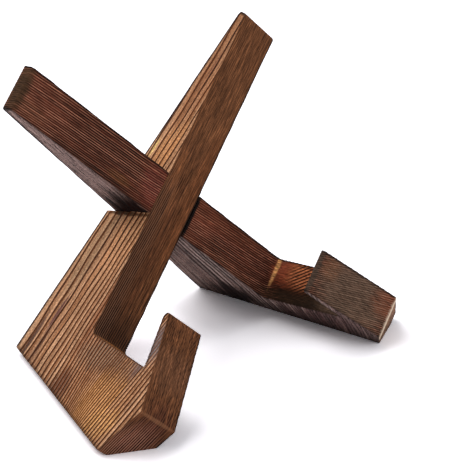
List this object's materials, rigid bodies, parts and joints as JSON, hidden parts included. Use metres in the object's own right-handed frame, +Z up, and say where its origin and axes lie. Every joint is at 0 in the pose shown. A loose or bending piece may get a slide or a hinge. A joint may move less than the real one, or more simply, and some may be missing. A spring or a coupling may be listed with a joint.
{
  "type": "tabletop display easel",
  "caption": "Cross-shaped wooden tabletop easel: two tapered arms interlock by slots, lean back, and end in feet with ledges and lips that hold an open book.",
  "frame": {"origin": "on the surface it stands on, under the middle of its bounding box", "axes": "+Z up, -Y towards the reader, +X to the reader's right, the way the front half's arm rises"},
  "size_m": [0.1962, 0.1134, 0.1499],
  "materials": {
    "front_wood": "satin",
    "back_wood": "satin"
  },
  "bodies": {
    "back_half": {"back_half": "back_wood"},
    "front_half": {"front_half": "front_wood"}
  },
  "joints": [
    {"name": "front_half_slide", "type": "slide", "parent": "back_half", "child": "front_half", "axis": [0, -0.9613, 0.2756], "range_m": [0, 0.035]}
  ]
}
